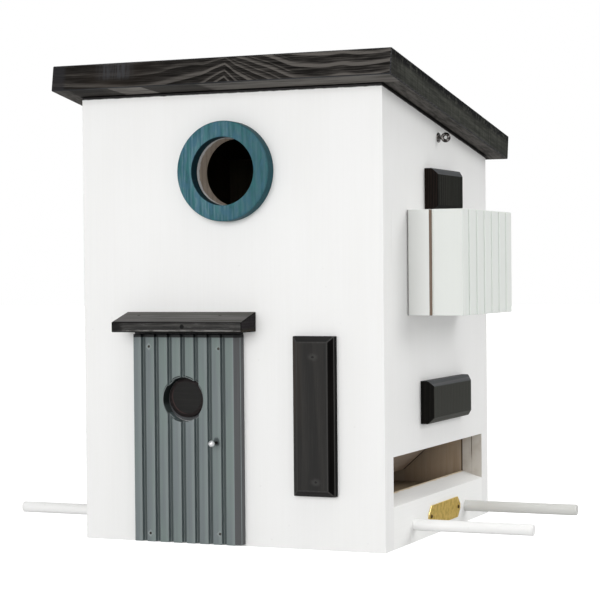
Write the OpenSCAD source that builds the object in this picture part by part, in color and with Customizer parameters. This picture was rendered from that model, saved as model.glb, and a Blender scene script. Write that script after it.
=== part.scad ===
// Wooden nest box with a built-in feeder, shaped like a small flat-fronted house.
// Millimetres. The origin is the centre of the underside, the front wall faces -Y and +Z is up.

/* [Box] */
// Width of the box across its front wall
box_w = 170; // [150:1:220]
// Depth of the box from front face to back face
box_d = 170; // [150:1:220]
// Height of the front wall at its outer face
front_h = 234; // [222:1:300]
// Slope of the roof down to the back, in degrees
roof_slope = 9.2; // [5:0.1:12]
// Thickness of the wall boards
wall_t = 12; // [10:0.5:15]
// Thickness of the floor board, which lies flush with the lower edges of the walls
floor_t = 18; // [15:0.5:20]

/* [Feeding slots] */
// Height of the rail below each slot, at its outer face
rail_h = 21.7; // [20:0.1:26]
// How much higher the rail stands at its inner face, so that rain runs off its top
rail_rise = 3.7; // [1:0.1:6]
// Height of each slot at the wall's outer face
slot_h = 25.2; // [18:0.1:30]
// Thickness of the two sloping seed boards
seed_board_t = 6; // [4:0.5:9]
// Slope of the seed boards, in degrees
seed_board_slope = 42; // [35:1:50]
// Distance from a side wall's inner face to the lower edge of its seed board
seed_board_reach = 35; // [25:1:45]
// Height of a seed board's lower edge above the floor board
seed_board_gap = 7; // [5:0.5:12]

/* [Roof] */
// Thickness of the roof board
roof_t = 13.5; // [10:0.5:20]
// Overhang of the roof past each side wall
roof_side = 10; // [9:0.5:20]
// Overhang of the roof in front
roof_front = 15; // [5:0.5:25]
// Overhang of the roof behind
roof_back = 11; // [11:0.5:20]
// Clearance between the closed roof and the top edges of the walls
roof_seat = 0.3; // [0.2:0.1:0.5]

/* [Roof hinges] */
// Length of each hinge along its pin
hinge_len = 26; // [20:1:34]
// Distance from a side face of the box to the middle of the hinge near it
hinge_inset = 35; // [25:1:45]
// Distance of the pin's axis behind the back wall
hinge_off = 2.8; // [2.6:0.1:3.4]
// Distance of the pin's axis below the closed roof
hinge_drop = 3; // [2.8:0.1:3.6]
// Outer radius of the hinge knuckles
knuckle_r = 2.2; // [1.8:0.1:2.4]
// Radius of the hinge pins
hinge_pin_r = 0.9; // [0.7:0.05:1.1]
// Radial clearance of a pin in its knuckles
hinge_fit = 0.05; // [0.02:0.01:0.08]
// Thickness of the hinge leaves
leaf_t = 1; // [0.8:0.1:1.2]
// Height of the leaf on the back wall, below the pin
wall_leaf_h = 14; // [10:0.5:18]

/* [Entrance] */
// Diameter of the entrance hole
entrance_d = 35; // [28:0.5:45]
// Distance of the entrance's centre below the front wall's top
entrance_drop = 41.5; // [38:0.5:50]
// Outer diameter of the ring round the entrance
ring_d = 51.5; // [48:0.5:60]
// Thickness of the ring
ring_t = 7; // [5:0.5:10]
// Rounding of the ring's front edges
ring_ease = 1; // [0.4:0.1:1.8]

/* [Door] */
// Width of the door board
door_w = 60.3; // [57:0.1:64]
// Thickness of the door board over its ribs
door_t = 7; // [6:0.5:10]
// Height of the door board's lower edge
door_foot = 1; // [0.5:0.5:5]
// Gap between the door's top and the canopy over it
door_gap = 1.3; // [0.5:0.1:3]
// Distance of the door's left edge from the left face of the box
door_inset = 33; // [28:0.5:40]
// Number of grooves down the door
door_grooves = 7; // [3:1:7]
// Distance from one door groove to the next
door_pitch = 7.6; // [5:0.1:8]
// Distance of the first groove's middle from the door's left edge
door_first = 5.8; // [3:0.1:7]
// Width of the door's grooves
door_groove_w = 2.7; // [1.2:0.1:3.2]
// Depth of the door's grooves
door_groove_t = 2.6; // [1:0.1:3]
// Width of the slope down the door's right edge
door_slope_w = 3.1; // [1.5:0.1:3.4]
// Diameter of the round window in the door
porthole_d = 23; // [16:0.5:26]
// Height of the round window's centre
porthole_z = 75.2; // [65:0.1:85]
// Gap between the black disc in the round window and the window's edge
disc_gap = 1.3; // [0.9:0.1:2]
// How far the black disc sits above the round window's centre
disc_rise = 0.8; // [0:0.1:0.8]
// Thickness of the black disc, which is glued to the front wall
disc_t = 3; // [2:0.1:4]
// Width of the bevel round the disc's face
disc_bevel = 1.8; // [0.5:0.1:3]
// Depth of the bevel round the disc's face
disc_bevel_t = 0.8; // [0.4:0.1:1.5]
// Radius of the door knob's ball
knob_r = 1.7; // [1.2:0.1:2.5]
// Radius of the knob's stem
knob_stem_r = 0.7; // [0.5:0.1:1]
// Distance of the ball's centre from the door
knob_out = 6; // [4:0.1:8]
// Height of the door knob
knob_z = 53.5; // [45:0.1:58]

/* [Canopy] */
// Width of the canopy over the door
canopy_w = 74; // [68:0.5:80]
// Depth of the canopy in front of the wall
canopy_d = 18; // [12:0.5:24]
// Height of the canopy's underside
canopy_z = 110.3; // [106:0.1:116]
// Height of the canopy against the wall
canopy_back_h = 10.2; // [8:0.1:12]
// Height of the canopy's front edge
canopy_front_h = 5.2; // [3:0.1:6]

/* [Window blocks] */
// Thickness of the black window blocks
block_t = 6.6; // [5:0.1:8]
// Width of the bevel round a block's face
block_bevel = 3; // [2:0.1:4]
// Depth of the bevel round a block's face
block_bevel_t = 2.6; // [1:0.1:3]
// Width of the strip that all the blocks are cut from
block_w = 22.6; // [18:0.1:23]
// Height of the tall block on the front wall
front_block_h = 80.9; // [60:0.1:90]
// Distance of the tall block's right edge from the right face of the box
front_block_inset = 25.3; // [18:0.1:30]
// Height of the tall block's lower edge
front_block_z = 27.4; // [20:0.1:40]
// Length of the upper block on each side wall
upper_block_l = 47.6; // [35:0.1:60]
// Distance of the upper block's middle behind the box's middle
upper_block_y = 1.1; // [-10:0.1:10]
// Length of the lower block on each side wall
lower_block_l = 68.4; // [50:0.1:80]
// Distance of the lower block's middle behind the box's middle
lower_block_y = 2.9; // [-10:0.1:10]
// Height of the lower block's lower edge
lower_block_z = 60.4; // [52:0.1:70]

/* [Balcony] */
// Length of the balcony along the right wall
balcony_l = 85.3; // [70:0.1:100]
// Height of the balcony
balcony_h = 54.4; // [40:0.1:60]
// Height of the balcony's lower edge
balcony_z = 117.7; // [112:0.1:120]
// Distance of the balcony's near end from the front face of the box
balcony_inset = 34.2; // [28:0.1:45]
// Thickness of the balcony's inner board
balcony_inner_t = 13.2; // [9:0.1:18]
// Thickness of the balcony's front board over its ribs
balcony_front_t = 17; // [10:0.1:20]
// Number of grooves down the balcony
balcony_grooves = 6; // [4:1:6]
// Distance from one balcony groove to the next
balcony_pitch = 12.9; // [8:0.1:13]
// Width of the balcony's grooves
balcony_groove_w = 2.2; // [1.2:0.1:3]
// Depth of the balcony's grooves
balcony_groove_t = 1.5; // [1:0.1:3]
// Chamfer of the edges where the balcony's two boards meet
balcony_seam = 1.2; // [0.5:0.1:1.5]
// Chamfer of the inner board's upright edges against the wall
balcony_ease = 0.8; // [0.3:0.1:1.5]

/* [Name plate] */
// Length of the bare brass plate
plate_l = 53; // [40:0.5:60]
// Height of the plate
plate_h = 11.5; // [8:0.5:13]
// Thickness of the plate
plate_t = 0.6; // [0.4:0.1:1]
// Length of the plate's clipped corners
plate_clip = 4.5; // [2:0.1:5]
// Distance of the plate's middle behind the box's middle
plate_y = 5.5; // [0:0.5:10]
// Height of the plate's middle
plate_z = 10.3; // [9:0.1:12]
// Radius of the plate's nail heads
plate_nail_r = 1.1; // [0.8:0.1:1.5]
// Height of the plate's nail heads
plate_nail_h = 0.7; // [0.4:0.1:1]

/* [Perches] */
// Diameter of the perches
perch_d = 6; // [4:0.5:8]
// Length of a perch outside the wall
perch_out = 64; // [40:1:80]
// Depth of a perch's seat in the rail
perch_seat = 10; // [6:0.5:10]
// Distance of each perch from the box's front or back face
perch_inset = 42.5; // [25:0.5:50]
// Height of the perches' axes
perch_z = 9.2; // [7:0.1:12]
// Radial clearance of a perch in its seat
perch_fit = 0.05; // [0.02:0.01:0.08]

/* [Screw eyes] */
// Wire radius of the screw eyes
eye_wire_r = 0.6; // [0.5:0.05:0.8]
// Radius of an eye's ring to the middle of its wire
eye_ring_r = 2.1; // [1.8:0.1:2.6]
// Distance of an eye's centre from the wall
eye_out = 4.4; // [4:0.1:5.4]
// Radius of the shoulder that stops the eye against the wall
eye_shoulder_r = 2.7; // [1.5:0.1:3]
// Thickness of that shoulder
eye_shoulder_t = 0.8; // [0.5:0.1:1]
// Depth of an eye's shank in the wall
eye_seat = 7; // [5:0.5:9]
// Distance of the eyes below the top edge of their wall
eye_drop = 8.2; // [7:0.1:12]
// Radial clearance of a shank in its hole
eye_fit = 0.03; // [0.02:0.01:0.08]

/* [Hidden] */
$fn = 48;
cut = 1;
half_w = box_w / 2;
half_d = box_d / 2;
inner_w = box_w - 2 * wall_t;
inner_d = box_d - 2 * wall_t;
slot_top = rail_h + slot_h;
roof_w = box_w + 2 * roof_side;
roof_run = box_d / cos(roof_slope);
roof_len = roof_run + roof_front + roof_back;
entrance_z = front_h - entrance_drop;
hinge_x = half_w - hinge_inset;
hinge_y = half_d + hinge_off;
hinge_z = wall_top(hinge_y) + roof_seat - hinge_drop;
hinge_bore_r = hinge_pin_r + hinge_fit;
knuckle_gap = 0.3;
knuckle_len = hinge_len / 3;
leaf_notch = knuckle_r + knuckle_gap;
roof_leaf_len = roof_back - hinge_off - leaf_notch - 0.8;
door_x = -half_w + door_inset + door_w / 2;
door_h = canopy_z - door_gap - door_foot;
first_groove_x = door_x - door_w / 2 + door_first;
porthole_x = first_groove_x + (door_grooves - 1) / 2 * door_pitch;
knob_x = first_groove_x + (door_grooves - 1.5) * door_pitch;
front_block_x = half_w - front_block_inset - block_w / 2;
balcony_y = half_d - balcony_inset - balcony_l / 2;
balcony_first = (balcony_l - (balcony_grooves - 1) * balcony_pitch) / 2;
perch_y = half_d - perch_inset;
upper_block_z = balcony_z + balcony_h;
eye_z = wall_top(0) - eye_drop;
eye_land = 0.12;
eye_inner_r = eye_ring_r - eye_wire_r + eye_land;
wood_white = "#f2f2ee";
wood_black = "#2b2c2c";
wood_raw = "#b99a72";
blue = "#2f6178";
door_blue = "#536470";
brass = "#c9a64c";
steel = "#b9bcbf";

// Height of the walls' top edges at depth y.
function wall_top(y) = front_h - (y + half_d) * tan(roof_slope);

// A profile drawn in depth and height, as thick as w along X and centred on x = 0.
module across(w) {
    translate([-w / 2, 0, 0])
        rotate([90, 0, 90])
            linear_extrude(w)
                children();
}

// A wall board between depths y0 and y1, with its top edge cut to the roof's slope.
module sloped_board(w, y0, y1, z0) {
    across(w)
        polygon([[y0, z0], [y1, z0], [y1, wall_top(y1)], [y0, wall_top(y0)]]);
}

// The roof's own frame: x across, y down the slope from the front wall's face, z square to the roof.
module on_roof() {
    translate([0, -half_d, front_h + roof_seat])
        rotate([-roof_slope, 0, 0])
            children();
}

// Turns what is drawn on the floor, standing up, to face -Y with its foot on the front wall.
module on_front(x, z) {
    translate([x, -half_d, z])
        rotate([90, 0, 0])
            children();
}

// Turns what is drawn in plan to face +X with its foot on the right wall: x runs back, y runs up.
module on_right(y, z) {
    translate([half_w, y, z])
        rotate([90, 0, 90])
            children();
}

// Mirrors a piece of the right side to the left side.
module to_left() {
    mirror([1, 0, 0])
        children();
}

module front_wall() {
    color(wood_white)
        difference() {
            sloped_board(box_w, -half_d, -half_d + wall_t, 0);
            translate([0, -half_d - cut, entrance_z])
                rotate([-90, 0, 0])
                    cylinder(d = entrance_d, h = wall_t + 2 * cut, $fn = 96);
        }
}

module back_wall() {
    color(wood_white)
        sloped_board(box_w, half_d - wall_t, half_d, 0);
}

// The upper board of the right wall, above the feeding slot, drilled for the screw eye.
module right_wall() {
    color(wood_white)
        difference() {
            translate([half_w - wall_t / 2, 0, 0])
                sloped_board(wall_t, -inner_d / 2, inner_d / 2, slot_top);
            translate([half_w - eye_seat, 0, eye_z])
                rotate([0, 90, 0])
                    cylinder(r = eye_wire_r + eye_fit, h = eye_seat + cut);
        }
}

// The low rail under the slot keeps the seed in and carries two perches. Its top slopes outwards.
module right_rail() {
    color(wood_white)
        difference() {
            translate([half_w, inner_d / 2, 0])
                rotate([90, 0, 0])
                    linear_extrude(inner_d)
                        polygon([[-wall_t, 0], [0, 0], [0, rail_h], [-wall_t, rail_h + rail_rise]]);
            for (side = [-1, 1])
                translate([half_w - perch_seat, side * perch_y, perch_z])
                    rotate([0, 90, 0])
                        cylinder(d = perch_d + 2 * perch_fit, h = perch_seat + cut);
        }
}

module left_wall() {
    to_left()
        right_wall();
}

module left_rail() {
    to_left()
        right_rail();
}

module floor_board() {
    color(wood_raw)
        translate([-inner_w / 2, -inner_d / 2, 0])
            cube([inner_w, inner_d, floor_t]);
}

// Slopes from the side wall down towards the middle, so that seed slides out under its lower edge.
module right_seed_board() {
    rise = seed_board_reach * tan(seed_board_slope);
    foot_x = inner_w / 2 - seed_board_reach;
    foot_z = floor_t + seed_board_gap;
    plumb_t = seed_board_t / cos(seed_board_slope);
    color(wood_raw)
        translate([0, inner_d / 2, 0])
            rotate([90, 0, 0])
                linear_extrude(inner_d)
                    polygon([
                        [foot_x, foot_z],
                        [inner_w / 2, foot_z + rise],
                        [inner_w / 2, foot_z + rise + plumb_t],
                        [foot_x - seed_board_t * sin(seed_board_slope), foot_z + seed_board_t * cos(seed_board_slope)]
                    ]);
}

module left_seed_board() {
    to_left()
        right_seed_board();
}

module roof_board() {
    color(wood_black)
        on_roof()
            translate([-roof_w / 2, -roof_front, 0])
                cube([roof_w, roof_len, roof_t]);
}

// One knuckle along X, from x0 and as long as len.
module knuckle(x0, len) {
    translate([x0, 0, 0])
        rotate([0, 90, 0])
            cylinder(r = knuckle_r, h = len);
}

module pin_bore() {
    translate([-hinge_len / 2 - cut, 0, 0])
        rotate([0, 90, 0])
            cylinder(r = hinge_bore_r, h = hinge_len + 2 * cut);
}

// The fixed leaf stands on the back wall, and its two outer knuckles leave room for the roof's.
module hinge_wall_leaf() {
    outer_len = knuckle_len - knuckle_gap;
    color(steel)
        translate([0, hinge_y, hinge_z])
            difference() {
                union() {
                    translate([-hinge_len / 2, -hinge_off, -wall_leaf_h])
                        cube([hinge_len, leaf_t, wall_leaf_h - leaf_notch]);
                    for (x0 = [-hinge_len / 2, hinge_len / 2 - outer_len]) {
                        knuckle(x0, outer_len);
                        translate([x0, -hinge_off, -leaf_notch - cut])
                            cube([outer_len, leaf_t, leaf_notch + cut]);
                        translate([x0, -hinge_off, -knuckle_r])
                            cube([outer_len, hinge_off, knuckle_r]);
                    }
                }
                pin_bore();
            }
}

// The moving leaf lies on the roof's underside behind the pin, and its knuckle is the middle one.
module hinge_roof_leaf() {
    mid_len = knuckle_len;
    drop = hinge_drop * cos(roof_slope);
    color(steel)
        translate([0, hinge_y, hinge_z])
            rotate([-roof_slope, 0, 0])
                difference() {
                    union() {
                        knuckle(-mid_len / 2, mid_len);
                        translate([-mid_len / 2, 0, 0])
                            cube([mid_len, leaf_notch + cut, drop]);
                        translate([-hinge_len / 2, leaf_notch, drop - leaf_t])
                            cube([hinge_len, roof_leaf_len, leaf_t]);
                    }
                    pin_bore();
                }
}

module hinge_pin() {
    color(steel)
        translate([-hinge_len / 2, hinge_y, hinge_z])
            rotate([0, 90, 0])
                cylinder(r = hinge_pin_r, h = hinge_len);
}

module left_hinge_wall_leaf() {
    translate([-hinge_x, 0, 0])
        hinge_wall_leaf();
}

module right_hinge_wall_leaf() {
    translate([hinge_x, 0, 0])
        hinge_wall_leaf();
}

module left_hinge_roof_leaf() {
    translate([-hinge_x, 0, 0])
        hinge_roof_leaf();
}

module right_hinge_roof_leaf() {
    translate([hinge_x, 0, 0])
        hinge_roof_leaf();
}

module left_hinge_pin() {
    translate([-hinge_x, 0, 0])
        hinge_pin();
}

module right_hinge_pin() {
    translate([hinge_x, 0, 0])
        hinge_pin();
}

// A turned ring, rounded on both front edges.
module entrance_ring() {
    outer = ring_d / 2;
    inner = entrance_d / 2;
    inner_ease = ring_ease / 2;
    color(blue)
        on_front(0, entrance_z)
            rotate_extrude($fn = 96) {
                difference() {
                    translate([inner, 0])
                        square([outer - inner, ring_t]);
                    translate([outer - ring_ease, ring_t - ring_ease])
                        difference() {
                            square(ring_ease + cut);
                            circle(r = ring_ease);
                        }
                    translate([inner - cut, ring_t - inner_ease])
                        difference() {
                            square([inner_ease + cut, inner_ease + cut]);
                            translate([inner_ease + cut, 0])
                                circle(r = inner_ease);
                        }
                }
            }
}

// Plan of a grooved board, its back along y = 0: the first groove's middle is first mm from the left edge.
module grooved_plan(w, t, grooves, first, pitch, groove_w, groove_t) {
    difference() {
        translate([-w / 2, 0])
            square([w, t]);
        for (i = [0 : grooves - 1])
            translate([-w / 2 + first + i * pitch - groove_w / 2, t - groove_t])
                square([groove_w, groove_t + cut]);
    }
}

// The door's plan also slopes away down its right edge, as deep as the grooves.
module door_plan() {
    difference() {
        grooved_plan(door_w, door_t, door_grooves, door_first, door_pitch, door_groove_w, door_groove_t);
        polygon([
            [door_w / 2 - door_slope_w, door_t],
            [door_w / 2, door_t - door_groove_t],
            [door_w / 2 + cut, door_t - door_groove_t],
            [door_w / 2 + cut, door_t + cut],
            [door_w / 2 - door_slope_w, door_t + cut]
        ]);
    }
}

module door_board() {
    color(door_blue)
        translate([door_x, -half_d, 0])
            difference() {
                translate([0, 0, door_foot])
                    linear_extrude(door_h)
                        mirror([0, 1])
                            door_plan();
                translate([porthole_x - door_x, cut, porthole_z])
                    rotate([90, 0, 0])
                        cylinder(d = porthole_d, h = door_t + 2 * cut, $fn = 96);
            }
}

// The black disc inside the round window, a turned button with a bevelled face.
module porthole_backing() {
    disc_r = porthole_d / 2 - disc_gap;
    color(wood_black)
        on_front(porthole_x, porthole_z + disc_rise)
            rotate_extrude($fn = 96)
                polygon([
                    [0, 0],
                    [disc_r, 0],
                    [disc_r, disc_t - disc_bevel_t],
                    [disc_r - disc_bevel, disc_t],
                    [0, disc_t]
                ]);
}

// A small steel ball on a stem, which stands on the last rib but one.
module door_knob() {
    color(steel)
        translate([knob_x, -half_d - door_t, knob_z])
            rotate([90, 0, 0]) {
                cylinder(r = knob_stem_r, h = knob_out);
                translate([0, 0, knob_out])
                    sphere(r = knob_r);
            }
}

module door_canopy() {
    color(wood_black)
        translate([door_x, 0, 0])
            across(canopy_w)
                polygon([
                    [-half_d, canopy_z],
                    [-half_d, canopy_z + canopy_back_h],
                    [-half_d - canopy_d, canopy_z + canopy_front_h],
                    [-half_d - canopy_d, canopy_z]
                ]);
}

// A flat block with a bevel round its face, centred on the origin and standing on z = 0.
module window_block(w, h) {
    edge_t = block_t - block_bevel_t;
    tilt = atan(block_bevel / block_bevel_t);
    color(wood_black)
        difference() {
            translate([-w / 2, -h / 2, 0])
                cube([w, h, block_t]);
            for (side = [-1, 1]) {
                translate([side * w / 2, 0, edge_t])
                    rotate([0, -side * tilt, 0])
                        translate([side > 0 ? 0 : -w, -h, -cut])
                            cube([w, 2 * h, 3 * block_t]);
                translate([0, side * h / 2, edge_t])
                    rotate([side * tilt, 0, 0])
                        translate([-w, side > 0 ? 0 : -h, -cut])
                            cube([2 * w, h, 3 * block_t]);
            }
        }
}

module front_window() {
    on_front(front_block_x, front_block_z + front_block_h / 2)
        window_block(block_w, front_block_h);
}

module right_upper_window() {
    on_right(upper_block_y, upper_block_z + block_w / 2)
        window_block(upper_block_l, block_w);
}

module right_lower_window() {
    on_right(lower_block_y, lower_block_z + block_w / 2)
        window_block(lower_block_l, block_w);
}

module left_upper_window() {
    to_left()
        right_upper_window();
}

module left_lower_window() {
    to_left()
        right_lower_window();
}

// Puts a plan whose back lies along y = 0 on the right wall, x running along the wall.
module balcony_place() {
    translate([half_w, -balcony_y, balcony_z])
        linear_extrude(balcony_h)
            rotate(-90)
                children();
}

module balcony_inner() {
    color(wood_white)
        balcony_place()
            polygon([
                [-balcony_l / 2 + balcony_ease, 0],
                [-balcony_l / 2, balcony_ease],
                [-balcony_l / 2, balcony_inner_t - balcony_seam],
                [-balcony_l / 2 + balcony_seam, balcony_inner_t],
                [balcony_l / 2 - balcony_seam, balcony_inner_t],
                [balcony_l / 2, balcony_inner_t - balcony_seam],
                [balcony_l / 2, balcony_ease],
                [balcony_l / 2 - balcony_ease, 0]
            ]);
}

module balcony_front() {
    corner = balcony_seam * sqrt(2);
    color(wood_white)
        balcony_place()
            translate([0, balcony_inner_t])
                difference() {
                    grooved_plan(
                        balcony_l, balcony_front_t, balcony_grooves, balcony_first,
                        balcony_pitch, balcony_groove_w, balcony_groove_t
                    );
                    for (side = [-1, 1])
                        translate([side * balcony_l / 2, 0])
                            rotate(45)
                                square(corner, center = true);
                }
}

// The plate's outline, with all four corners clipped.
module plate_outline() {
    polygon([
        for (c = [[1, 1], [-1, 1], [-1, -1], [1, -1]])
            for (k = c[0] * c[1] > 0 ? [0, 1] : [1, 0])
                [
                    c[0] * (plate_l / 2 - (k == 0 ? 0 : plate_clip)),
                    c[1] * (plate_h / 2 - (k == 0 ? plate_clip : 0))
                ]
    ]);
}

module name_plate() {
    color(brass)
        on_right(plate_y, plate_z)
            linear_extrude(plate_t)
                plate_outline();
}

module plate_nails() {
    color(brass)
        for (side = [-1, 1])
            on_right(plate_y + side * (plate_l / 2 - plate_clip + plate_nail_r / 2), plate_z)
                translate([0, 0, plate_t])
                    cylinder(r = plate_nail_r, h = plate_nail_h);
}

// A round perch, seated in its rail on the right side.
module perch(y) {
    color(wood_white)
        translate([half_w - perch_seat, y, perch_z])
            rotate([0, 90, 0])
                cylinder(d = perch_d, h = perch_seat + perch_out);
}

module right_front_perch() {
    perch(-perch_y);
}

module right_back_perch() {
    perch(perch_y);
}

module left_front_perch() {
    to_left()
        perch(-perch_y);
}

module left_back_perch() {
    to_left()
        perch(perch_y);
}

// A wire ring on a shank, with a short true bore inside the ring.
module right_screw_eye() {
    color(steel)
        translate([half_w, 0, eye_z])
            difference() {
                union() {
                    translate([eye_out, 0, 0])
                        rotate([90, 0, 0])
                            rotate_extrude()
                                translate([eye_ring_r, 0])
                                    circle(r = eye_wire_r);
                    translate([-eye_seat, 0, 0])
                        rotate([0, 90, 0])
                            cylinder(r = eye_wire_r, h = eye_seat + eye_out - eye_ring_r);
                    rotate([0, 90, 0])
                        cylinder(r = eye_shoulder_r, h = eye_shoulder_t);
                }
                translate([eye_out, 2 * eye_wire_r, 0])
                    rotate([90, 0, 0])
                        cylinder(r = eye_inner_r, h = 4 * eye_wire_r);
            }
}

module left_screw_eye() {
    to_left()
        right_screw_eye();
}

front_wall();
back_wall();
right_wall();
right_rail();
left_wall();
left_rail();
floor_board();
right_seed_board();
left_seed_board();
roof_board();
left_hinge_wall_leaf();
right_hinge_wall_leaf();
left_hinge_roof_leaf();
right_hinge_roof_leaf();
left_hinge_pin();
right_hinge_pin();
entrance_ring();
door_board();
porthole_backing();
door_knob();
door_canopy();
front_window();
right_upper_window();
right_lower_window();
left_upper_window();
left_lower_window();
balcony_inner();
balcony_front();
name_plate();
plate_nails();
right_front_perch();
right_back_perch();
left_front_perch();
left_back_perch();
right_screw_eye();
left_screw_eye();
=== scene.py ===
import math
from functools import partialmethod

import bmesh
import bpy
from mathutils import Matrix, Vector


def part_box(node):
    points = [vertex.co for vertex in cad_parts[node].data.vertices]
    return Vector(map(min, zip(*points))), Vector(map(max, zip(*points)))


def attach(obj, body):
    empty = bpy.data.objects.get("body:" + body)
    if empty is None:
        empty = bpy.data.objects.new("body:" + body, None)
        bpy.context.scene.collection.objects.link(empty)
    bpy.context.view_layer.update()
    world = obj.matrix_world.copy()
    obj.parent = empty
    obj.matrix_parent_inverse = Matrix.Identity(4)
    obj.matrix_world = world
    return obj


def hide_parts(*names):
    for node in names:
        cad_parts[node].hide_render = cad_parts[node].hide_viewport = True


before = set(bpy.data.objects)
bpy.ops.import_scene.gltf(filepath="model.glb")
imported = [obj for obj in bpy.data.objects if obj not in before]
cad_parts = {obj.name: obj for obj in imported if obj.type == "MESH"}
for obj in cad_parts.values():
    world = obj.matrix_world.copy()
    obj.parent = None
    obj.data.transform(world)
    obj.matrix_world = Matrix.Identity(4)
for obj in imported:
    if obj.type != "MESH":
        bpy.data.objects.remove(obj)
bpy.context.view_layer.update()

MM = 1000  # millimetres in a metre


# ---- node trees

class Wiring:
    """Adds nodes to a node tree and joins them. A value is a number, or another node's output."""

    def __init__(self, tree):
        self.tree = tree

    def feed(self, socket, value):
        """Joins a socket to an output, or sets its value. A colour is given without its alpha."""
        if isinstance(value, bpy.types.NodeSocket):
            self.tree.links.new(value, socket)
        else:
            socket.default_value = (*value, 1) if socket.type == "RGBA" else value

    def add(self, kind, inputs=None, **settings):
        """A new shader node, from its settings and what goes into it."""
        node = self.tree.nodes.new("ShaderNode" + kind)
        for key, value in settings.items():
            setattr(node, key, value)
        for key, value in (inputs or {}).items():
            self.feed(node.inputs[key], value)
        return node

    def math(self, operation, *values, clamp=False):
        """The outcome of a sum on numbers or outputs."""
        node = self.add("Math", operation=operation, use_clamp=clamp)
        for socket, value in zip(node.inputs, values):
            self.feed(socket, value)
        return node.outputs[0]

    plus = partialmethod(math, "ADD")
    minus = partialmethod(math, "SUBTRACT")
    times = partialmethod(math, "MULTIPLY")
    over = partialmethod(math, "DIVIDE")
    most = partialmethod(math, "MAXIMUM")
    absolute = partialmethod(math, "ABSOLUTE")

    def scaled(self, vector, factors):
        """A vector with each part multiplied by its own factor."""
        return self.add("VectorMath", {0: vector, 1: factors}, operation="MULTIPLY").outputs[0]

    def remap(self, value, low, high, to_low=0, to_high=1):
        """Takes low...high smoothly to to_low...to_high, and stays level beyond."""
        inputs = {
            "Value": value, "From Min": low, "From Max": high, "To Min": to_low, "To Max": to_high
        }
        return self.add("MapRange", inputs, interpolation_type="SMOOTHSTEP").outputs["Result"]

    def noise(self, vector, scale=1, detail=2, rough=0.5):
        """Noise of one scale, or of a scale for each axis."""
        if isinstance(scale, tuple):
            vector, scale = self.scaled(vector, scale), 1
        inputs = {"Vector": vector, "Scale": scale, "Detail": detail, "Roughness": rough}
        return self.add("TexNoise", inputs).outputs["Fac"]

    def mix(self, factor, first, second):
        """From the first colour at 0 to the second at 1."""
        node = self.add("Mix", data_type="RGBA")
        self.feed(node.inputs[0], factor)
        self.feed(node.inputs[6], first)
        self.feed(node.inputs[7], second)
        return node.outputs[2]

    def parts(self, vector):
        """A vector's X, Y and Z."""
        return self.add("SeparateXYZ", {"Vector": vector}).outputs

    def use(self, group, **inputs):
        """The outputs of a node group."""
        return self.add("Group", inputs, node_tree=group).outputs


def new_group(name, inputs, outputs):
    """An empty shader node group: its tree, its wiring, and its inputs and outputs from inside."""
    tree = bpy.data.node_groups.new(name, "ShaderNodeTree")
    for label, kind, value in inputs:
        socket = tree.interface.new_socket(label, in_out="INPUT", socket_type="NodeSocket" + kind)
        socket.default_value = value
    for label in outputs:
        tree.interface.new_socket(label, in_out="OUTPUT", socket_type="NodeSocketFloat")
    source = tree.nodes.new("NodeGroupInput")
    sink = tree.nodes.new("NodeGroupOutput")
    return tree, Wiring(tree), source.outputs, sink.inputs


def make_timber_group():
    """Growth rings and fibres. The vector is in millimetres with X along the grain."""
    tree, w, given, result = new_group(
        "timber",
        [("Vector", "Vector", (0, 0, 0)), ("Ring", "Float", 2.5), ("Heart", "Float", 60),
         ("Wander", "Float", 6), ("Swell", "Float", 0)],
        ["Latewood", "Fibre", "Cloud"],
    )
    across = w.parts(given["Vector"])
    wander = w.noise(given["Vector"], (0.007, 0.035, 0.035), 1.5)
    ripple = w.noise(given["Vector"], (0.03, 0.25, 0.25))
    depth = w.plus(across["Z"], given["Heart"])
    radius = reach(w, across["Y"], depth)
    radius = w.plus(radius, w.times(wander, given["Wander"]))
    radius = w.plus(radius, w.times(ripple, 0.5))
    radius = w.plus(radius, given["Swell"])
    turns = w.over(radius, given["Ring"])
    phase = w.math("FRACT", turns)
    year = w.add(
        "TexWhiteNoise", {"W": w.math("FLOOR", turns)}, noise_dimensions="1D"
    ).outputs["Value"]
    rise = w.remap(phase, 0.35, 0.9)
    fall = w.remap(phase, 0.9, 1, 1, 0)
    late = w.times(rise, fall)
    w.feed(result["Latewood"], w.times(late, w.remap(year, 0, 1, 0.5, 1)))
    w.feed(result["Fibre"], w.noise(given["Vector"], (0.05, 1.5, 1.5), 5, 0.65))
    w.feed(result["Cloud"], w.noise(given["Vector"], (0.02, 0.06, 0.06)))
    return tree


def make_film_group():
    """A coat of brushed paint, in millimetres: brush marks along X, a stipple and a few specks."""
    tree, w, given, result = new_group(
        "paint_film",
        [("Vector", "Vector", (0, 0, 0)), ("Stroke", "Float", 1)],
        ["Height", "Shade", "Speck"],
    )
    brush = w.noise(given["Vector"], (0.02, 1.1, 1.1), 4, 0.6)
    stipple = w.noise(given["Vector"], 1.6, 3, 0.6)
    broad = w.noise(given["Vector"], (0.012, 0.05, 0.05))
    spots = w.add(
        "TexVoronoi", {"Vector": given["Vector"], "Scale": 0.09}, feature="F1"
    ).outputs["Distance"]
    w.feed(result["Height"], w.plus(w.times(brush, given["Stroke"]), w.times(stipple, 0.35)))
    w.feed(result["Shade"], w.plus(w.times(brush, 0.5), w.times(broad, 0.5)))
    w.feed(result["Speck"], w.remap(spots, 0.035, 0.06, 1, 0))
    return tree


def reach(w, off_x, off_z):
    """The distance given by two offsets."""
    return w.math("SQRT", w.plus(w.times(off_x, off_x), w.times(off_z, off_z)))


def near(w, value, target, half_width, soft):
    """1 where a value lies within half a width of its target, and 0 beyond a soft distance."""
    away = w.absolute(w.minus(value, target))
    return w.remap(away, half_width, half_width + soft, 1, 0)


TIMBER = make_timber_group()
PAINT_FILM = make_film_group()


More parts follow.
